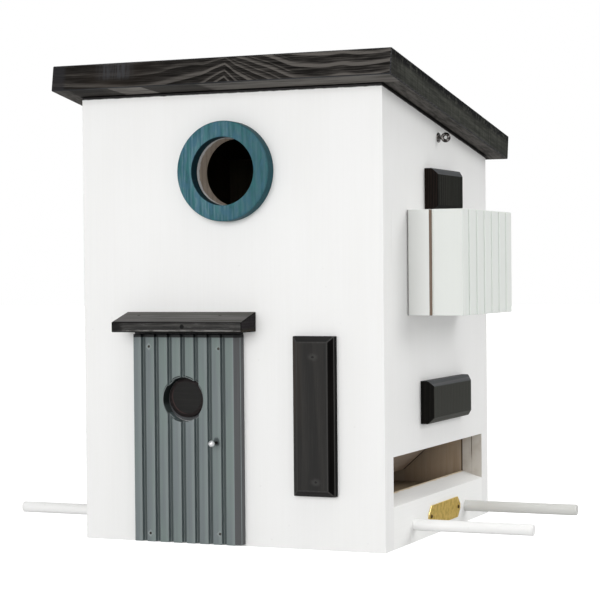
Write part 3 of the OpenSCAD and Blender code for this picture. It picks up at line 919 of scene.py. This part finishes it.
def chipped_edge(w, here, base):
    """Rough fibres on the canopy's front, with pale chips along its lower edge."""
    rough = w.noise(here, (0.12, 0.5, 1.3), 4, 0.7)
    base = w.mix(w.remap(rough, 0.5, 0.7, 0, 0.6), base, (0.1, 0.098, 0.095))
    base = w.mix(w.remap(rough, 0.3, 0.46, 0.7, 0), base, (0.01, 0.01, 0.01))
    low = w.minus(w.parts(here)["Z"], canopy_low.z)
    chip = w.noise(here, (0.12, 0.3, 0.9), 5, 0.75)
    chips = w.times(near(w, low, 0.9, 0.15, 0.35), w.remap(chip, 0.4, 0.56))
    base = w.mix(w.times(chips, 0.75), base, (0.26, 0.255, 0.245))
    off = reach(w, w.minus(w.parts(here)["X"], NAIL_X), w.minus(low, 2.9))
    nail = w.remap(off, 0.9, 1.4, 0.97, 0)
    tip = w.plus(w.minus(w.parts(here)["X"], canopy_low.x), w.times(rough, -10))
    nail = w.most(nail, w.remap(tip, -1, 2.4, 0.85, 0))
    return w.mix(w.most(nail, w.remap(low, 0.3, 0.6, 0.9, 0)), base, (0.004, 0.004, 0.004))


def rain_streaks(w, here, base):
    """Long streaks on the canopy's weathered top, browner towards the wall."""
    streak = w.noise(here, (0.025, 0.7, 0.7), 4, 0.6)
    base = w.mix(w.remap(streak, 0.4, 0.55, 0.7, 0), base, (0.04, 0.037, 0.031))
    depth = w.parts(here)["Y"]
    base = w.mix(w.remap(depth, FRONT - 8, FRONT, 0, 0.35), base, (0.1, 0.092, 0.072))
    front = w.remap(depth, canopy_low.y + 0.9, canopy_low.y + 1.4, 0.85, 0)
    return w.mix(front, base, (0.012, 0.012, 0.012))


def rough_end(w, here, base):
    """The canopy's sawn ends are rough, with brown showing along their lower edge."""
    nick = w.noise(here, (0.4, 0.9, 0.5), 4, 0.7)
    base = w.mix(w.remap(nick, 0.45, 0.62, 0, 0.7), base, (0.022, 0.017, 0.021))
    low = w.remap(w.parts(here)["Z"], canopy_low.z + 0.4, canopy_low.z + 2.2, 0.75, 0)
    return w.mix(w.times(low, w.remap(nick, 0.3, 0.6)), base, (0.042, 0.034, 0.016))


canopy_finishes = [
    black_wood(
        "canopy_black", "X", (0, 30, 40),
        (0.025, 0.0245, 0.024), (0.062, 0.06, 0.056), 0.8, marks=chipped_edge,
    ),
    # The top: paler with dust, and with a painted sheen.
    black_wood(
        "canopy_top_dust_and_sheen", "X", (0, 55, 20),
        (0.098, 0.096, 0.094), (0.13, 0.126, 0.122), 0.7, marks=rain_streaks,
    ),
    black_wood(
        "canopy_ends", "Y", (0, 5, 8),
        (0.006, 0.0045, 0.0055), (0.018, 0.014, 0.016), 0.6, 1.6, 0.06, rough_end,
    ),
    black_wood(
        "canopy_worn", "X", (0, 80, 0), (0.004, 0.004, 0.004), (0.022, 0.021, 0.02), 1, 1.2, 0.03
    ),
]
eased_node("door_canopy", "canopy_board", canopy_finishes, 0.4, canopy_face, worn=3)


def nail_smears(w, here, base):
    """Filled nail holes near both ends of the tall block, and a brown tint down its left side."""
    spot = w.parts(here)
    low, high = box_mm("front_window")
    left = w.remap(spot["X"], low.x + 1.5, low.x + 7, 1, 0)
    brown = w.times(left, w.remap(spot["Z"], low.z + 25, low.z + 50))
    base = w.mix(w.times(brown, 0.55), base, (0.046, 0.034, 0.026))
    for right, up in ((12, high.z - 10.4), (13.1, low.z + 7.6)):
        off = reach(w, w.times(w.minus(spot["X"], low.x + right), 0.7), w.minus(spot["Z"], up))
        off = w.plus(off, w.times(w.noise(here, 0.8), 1.2))
        base = w.mix(w.remap(off, 1.3, 3.2, 0.3, 0), base, (0.085, 0.083, 0.08))
        base = w.mix(w.remap(off, 0.9, 1.3, 0.8, 0), base, (0.006, 0.006, 0.006))
    return base


def tall_face(centre, normal):
    """The tall block's finishes: face, right side, and its top and bottom bevels."""
    if abs(normal.z) > 0.3:
        return 3
    return 1 if normal.x > 0.3 else 0


block_finishes = [
    black_wood(
        "block_black", "Z", (0, 20, 10),
        (0.02, 0.0195, 0.019), (0.04, 0.038, 0.035), 0.4, marks=nail_smears,
    ),
    black_wood(
        "block_edge", "Z", (0, 45, 10),
        (0.0015, 0.0013, 0.0012), (0.006, 0.0055, 0.005), 0.4, gloss=0.03,
    ),
    black_wood(
        "block_worn", "Z", (0, 70, 10), (0.036, 0.035, 0.034), (0.058, 0.056, 0.053), 0.5, 1.6
    ),
    black_wood(
        "block_top", "X", (0, 25, 40), (0.013, 0.0128, 0.0125), (0.026, 0.025, 0.024), 0.5, 1.8
    ),
]
eased_node("front_window", "tall_block", block_finishes, 0.4, tall_face, worn=2)

KNOB_STEM_R = 0.7
knob_r = (knob_high.x - knob_low.x) / 2
knob_long = knob_high.y - knob_low.y
knob_profile = [(0, -0.6), (KNOB_STEM_R, -0.6), (KNOB_STEM_R, knob_long - 2 * knob_r + 0.15)]
for degrees in range(-53, 91, 13):
    a = math.radians(degrees)
    knob_profile.append((knob_r * math.cos(a), knob_long - knob_r + knob_r * math.sin(a)))
knob_profile[-1] = (0, knob_long)
knob = bmesh.new()
add_turned(knob, knob_profile, 32, Vector((knob_mid.x, knob_high.y, knob_mid.z)), (0, -1, 0))
iron_and_stem_shade = finish_of_metal("iron_and_stem_shade", (0.06, 0.055, 0.05), (0.03, 0.027, 0.025), 0.5)
nickel = finish_of_metal("nickel", (0.92, 0.93, 0.94), (0.74, 0.75, 0.76), 0.38)
# The stem takes the dark iron finish: painted shade, as it stands in the ball's shadow.
for face in knob.faces:
    face.material_index = 1 if face.calc_center_median().y > knob_low.y + 2 * knob_r - 0.3 else 0
keep(knob, "door_ball", [nickel, iron_and_stem_shade], ["door_knob"])


# ---- the sides

lower_finishes = [
    black_wood(
        "side_black", "Z", (0, 20, 30), (0.036, 0.037, 0.032), (0.055, 0.055, 0.048), gloss=0.03
    ),
    # The blocks' tops: paler with dust, and with a painted sheen.
    black_wood("side_top_dust_and_sheen", "Y", (0, 50, 30), (0.056, 0.059, 0.062), (0.11, 0.112, 0.115), 0.8),
    black_wood(
        "side_end", "Z", (0, 10, 60), (0.0025, 0.0025, 0.002), (0.009, 0.008, 0.007), gloss=0.05
    ),
    black_wood("side_low", "Y", (0, 80, 30), (0.042, 0.043, 0.036), (0.08, 0.08, 0.066), 0.6),
]
upper_finishes = [
    black_wood(
        "upper_black", "Z", (0, 35, 70),
        (0.006, 0.0062, 0.005), (0.034, 0.035, 0.029), 0.9, 1.7, 0.02,
    ),
    lower_finishes[1],
    black_wood(
        "upper_end", "Z", (0, 15, 85),
        (0.002, 0.0016, 0.0014), (0.022, 0.014, 0.011), 0.8, 1.5, 0.04,
    ),
    black_wood(
        "upper_low", "Y", (0, 95, 30), (0.007, 0.007, 0.006), (0.022, 0.021, 0.018), 0.6, gloss=0.03
    ),
]


def side_block_face(centre, normal):
    """The side blocks' finishes: face and far end, top, front end, and underside."""
    if normal.z > 0.3:
        return 1
    if normal.z < -0.3:
        return 3
    return 2 if normal.y < -0.3 else 0


for side in ("right", "left"):
    for level, finishes in (("_upper", upper_finishes), ("_lower", lower_finishes)):
        name = side + level
        eased_node(
            name + "_window", name + "_block", finishes, 0.35, side_block_face
        )

inner_low, inner_high = box_mm("balcony_inner")


def seam_face(centre, normal):
    """The inner board's finishes: painted, the brown chamfers where the boards meet on the right,
    and grey painted shade on the chamfers by the wall on the left.
    """
    if abs(normal.x) < 0.3 or abs(normal.y) < 0.3:
        return 0
    return 1 if centre.x > (inner_low.x + inner_high.x) / 2 else 2


def end_shade(w, here, paint):
    """The boards' ends are greyer than their faces, the more so towards the wall: painted shade."""
    spot = w.parts(here)
    end = w.most(
        near(w, spot["Y"], inner_low.y, 0.3, 0.2), near(w, spot["Y"], inner_high.y, 0.3, 0.2)
    )
    out = w.remap(w.absolute(spot["X"]), inner_low.x, inner_high.x + 12, 0.85, 0.45)
    return w.mix(w.times(end, out), paint, (0.56, 0.57, 0.55))


balcony_finishes = [
    painted_wood("white_balcony", WHITE, WHITE_SHADE, shift=(90, 10, 50), marks=end_shade),
    bare_pine("seam_brown", "Z", (0, 10, 10), tinted(0.8, (0.125, 0.088, 0.07))),
    # The chamfers by the wall: a grey copy of the white, painted shade.
    painted_wood("seam_shade_grey", (0.22, 0.22, 0.21), (0.3, 0.3, 0.29)),
]
eased_node("balcony_inner", "balcony_back_board", balcony_finishes, 0.25, seam_face)
white_ribs = painted_wood(
    "white_ribs", (0.765, 0.795, 0.76), (0.74, 0.765, 0.735), shift=(90, 10, 50), marks=end_shade
)
eased_node("balcony_front", "balcony_ribbed_board", [white_ribs], 0.3)

brass = finish_of_metal(
    "brass", (0.68, 0.475, 0.09), (0.43, 0.295, 0.055), 0.34, along="Y", line=2.5
)
# The plate's rounded edges: a brighter brass, painted highlight.
brass_edge_highlight = finish_of_metal(
    "brass_edge_highlight", (0.95, 0.78, 0.38), (0.8, 0.62, 0.26), 0.25, along="Y"
)
dull_brass = finish_of_metal("dull_brass", (0.11, 0.07, 0.03), (0.05, 0.03, 0.015), 0.5)
eased_node("name_plate", "bare_plate", [brass, brass_edge_highlight], 0.22, segments=2, worn=1)
nail_low, nail_high = box_mm("plate_nails")
head_r = (nail_high.z - nail_low.z) / 2
heads = bmesh.new()
for head_y in (nail_low.y + head_r, nail_high.y - head_r):
    spot = Vector((nail_low.x, head_y, nail_low.z + head_r))
    add_turned(heads, domed(head_r, nail_high.x - nail_low.x), 32, spot, (1, 0, 0))
keep(heads, "plate_heads", [dull_brass], ["plate_nails"])

for side in ("right", "left"):
    for end, across, colour, shade in (
        ("front", 35, WHITE, WHITE_SHADE),
        # The back perches get a greyer copy of the white: painted shade.
        ("back", 28, (0.62, 0.62, 0.6), (0.58, 0.58, 0.555)),
    ):
        name = side + "_" + end
        dowel_white = painted_wood(name + "_white", colour, shade, along="X", shift=(0, across, 0))
        eased_node(name + "_perch", name + "_dowel", [dowel_white], 0.6)

steel = finish_of_metal("steel", (0.42, 0.42, 0.42), (0.16, 0.155, 0.15), 0.22)
# Near-black steel with bright patches: painted glints and dark reflections on the screw eyes.
steel_painted_glints = finish_of_metal(
    "steel_painted_glints", (0.015, 0.012, 0.012), (0.5, 0.47, 0.45), 0.15, patch=0.9
)


def add_wire_ring(bm, centre, ring_r, wire_r, opening, where):
    """A wire bent round the Y axis, open by some degrees at a place given in degrees up from +X."""
    part = bmesh.new()
    begin = Matrix.Rotation(-math.radians(where + opening / 2), 4, "Y")
    start = begin @ Matrix.Translation((ring_r, 0, 0))
    bmesh.ops.create_circle(part, cap_ends=True, segments=16, radius=wire_r, matrix=start)
    wire = part.faces[:] + part.verts[:] + part.edges[:]
    turn = math.radians(360 - opening)
    bmesh.ops.spin(
        part, geom=wire, cent=(0, 0, 0), axis=(0, -1, 0), angle=turn, steps=40, use_merge=False
    )
    pour(part, Matrix.Translation(centre), bm)


EYE_WIRE = 0.9  # radius of the wire
EYE_COLLAR = 0.8  # thickness of the collar at the wall
EYE_GAP = 10  # degrees that the eye is open
for side, out in (("right", 1), ("left", -1)):
    low, high = box_mm(side + "_screw_eye")
    outer_r = (high.z - low.z) / 2
    collar_r = (high.y - low.y) / 2
    sunk = SIDE - (low.x if out > 0 else -high.x)
    middle_out = high.x - low.x - sunk - outer_r
    stem_end = middle_out - outer_r + EYE_WIRE
    profile = [
        (0, -sunk), (EYE_WIRE, 1.6 - sunk), (EYE_WIRE, 0), (collar_r - 0.15, 0), (collar_r, 0.15),
        (collar_r, EYE_COLLAR - 0.3), (collar_r - 0.3, EYE_COLLAR), (EYE_WIRE + 0.3, EYE_COLLAR),
        (EYE_WIRE, EYE_COLLAR + 0.3), (EYE_WIRE, stem_end), (0, stem_end),
    ]
    foot = Vector((out * SIDE, 0, (low.z + high.z) / 2))
    centre = foot + Vector((out * middle_out, 0, 0))
    eye = bmesh.new()
    add_turned(eye, profile, 32, foot, (out, 0, 0))
    add_wire_ring(eye, centre, outer_r - EYE_WIRE, EYE_WIRE, EYE_GAP, 192 if out > 0 else -12)
    keep(eye, side + "_eye", [steel_painted_glints], [side + "_screw_eye"])


# ---- pins and screws

LEAF_THICK = 1
SCREWS_OUT = (-8, 8)  # from a hinge's middle
CANOPY_PINS_X = (-49, -2.2)
CANOPY_PINS_Y = -91


def set_heads(name, finish, places, profile, body="box"):
    """One piece of several round heads of steel, from (place in mm, direction) pairs."""
    bm = bmesh.new()
    for spot, direction in places:
        add_turned(bm, profile, 24, spot, direction)
    keep(bm, name, [finish], body=body)


def corners_mm(node):
    """The corners of a CAD node, in millimetres."""
    return [corner.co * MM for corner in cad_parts[node].data.vertices]


door_pins = [((door_low.x + right, door_low.y, up), (0, -1, 0)) for right, up in PIN_SPOTS]
set_heads("door_pins", iron_and_stem_shade, door_pins, domed(0.7, 0.18))
canopy_corners = corners_mm("door_canopy")
canopy_front_z = max(corner.z for corner in canopy_corners if corner.y < canopy_low.y + 0.01)
canopy_fall = (canopy_high.z - canopy_front_z) / (FRONT - canopy_low.y)
pin_z = canopy_high.z - (FRONT - CANOPY_PINS_Y) * canopy_fall
canopy_pins = [((pin_x, CANOPY_PINS_Y, pin_z), (0, -canopy_fall, 1)) for pin_x in CANOPY_PINS_X]
set_heads("canopy_pins", iron_and_stem_shade, canopy_pins, domed(0.9, 0.12))
for side in ("left", "right"):
    low, high = box_mm(side + "_hinge_wall_leaf")
    middle_x = (low.x + high.x) / 2
    wall_screws = [
        ((middle_x + out, low.y + LEAF_THICK, low.z + 5.5), (0, 1, 0)) for out in SCREWS_OUT
    ]
    set_heads(side + "_hinge_wall_screws", steel, wall_screws, screw_head(1.9, 0.5))
    leaf = corners_mm(side + "_hinge_roof_leaf")
    leaf_end = max(corner.y for corner in leaf)
    down = Vector((0, -math.sin(ROOF_TILT), -math.cos(ROOF_TILT)))
    flat = max(corner.dot(down) for corner in leaf if corner.y > leaf_end - 2)
    screw_y = leaf_end - 2.6
    screw_z = (flat - screw_y * down.y) / down.z
    roof_screws = [((middle_x + out, screw_y, screw_z), down) for out in SCREWS_OUT]
    set_heads(side + "_hinge_roof_screws", steel, roof_screws, screw_head(1.7, 0.45), "roof")


# ---- floor, light and camera

def studio_white(name, colour, glow, lift):
    """A pale table that glows softly, and to the camera by a lift more, so that it stays white."""
    material, w, shader = new_finish(name, 0)
    w.feed(shader["Base Color"], colour)
    w.feed(shader["Roughness"], 1)
    w.feed(shader["Emission Color"], (1, 1, 1))
    seen = w.add("LightPath").outputs["Is Camera Ray"]
    w.feed(shader["Emission Strength"], w.plus(glow, w.times(seen, lift)))
    return material


def add_floor():
    """A wide floor under the object."""
    bm = bmesh.new()
    bmesh.ops.create_grid(bm, x_segments=1, y_segments=1, size=6)
    white = studio_white("floor_white", (0.25, 0.25, 0.25), 0.36, 0.75)
    add_object("studio_floor", new_mesh("studio_floor", bm, [white]))


def add_sky(low, high):
    """A pale surround, brightest round the sides, that the camera sees as plain white."""
    world = bpy.data.worlds.new("surround")
    bpy.context.scene.world = world
    world.use_nodes = True
    w = Wiring(world.node_tree)
    rise = w.parts(w.add("TexCoord").outputs["Generated"])["Z"]
    level = w.remap(rise, 0, 0.8, low, high)
    seen = w.add("LightPath").outputs["Is Camera Ray"]
    strength = w.plus(w.times(level, w.minus(1, seen)), seen)
    back = world.node_tree.nodes["Background"].inputs
    w.feed(back["Color"], (1, 1, 1))
    w.feed(back["Strength"], strength)


def add_far_light(name, come_from, spread, strength):
    """A wide light so far away that it falls evenly. spread is its angle in degrees."""
    data = bpy.data.lights.new(name, "SUN")
    data.angle = math.radians(spread)
    data.energy = strength
    add_object(name, data).matrix_world = stand(come_from, come_from)


def add_camera(eye, yaw, pitch, roll, lens):
    """Yaw turns to the left of +Y, pitch turns down and roll is about the view, all in degrees."""
    data = bpy.data.cameras.new("camera")
    data.lens = lens
    data.sensor_width = 36
    at = Matrix.Translation(eye)
    for angle, axis in ((yaw, "Z"), (90 - pitch, "X"), (roll, "Z")):
        at @= Matrix.Rotation(math.radians(angle), 4, axis)
    camera = add_object("camera", data)
    camera.matrix_world = at
    bpy.context.scene.camera = camera


add_floor()
add_sky(0.62, 0.25)
add_far_light("front_light", (0.1, -2, 0.15), 50, 2.62)
add_far_light("side_light", (2, 1, 1), 30, 1)
add_far_light("top_light", (0.5, -0.1, 2), 40, 1.2)
add_far_light("back_light", (-1.6, 1.6, 0.9), 60, 0.9)
add_camera((0.41677, -0.97194, 0.14142), yaw=23.028, pitch=0.8907, roll=-0.5148, lens=114.28)
bpy.context.scene.view_settings.view_transform = "Standard"
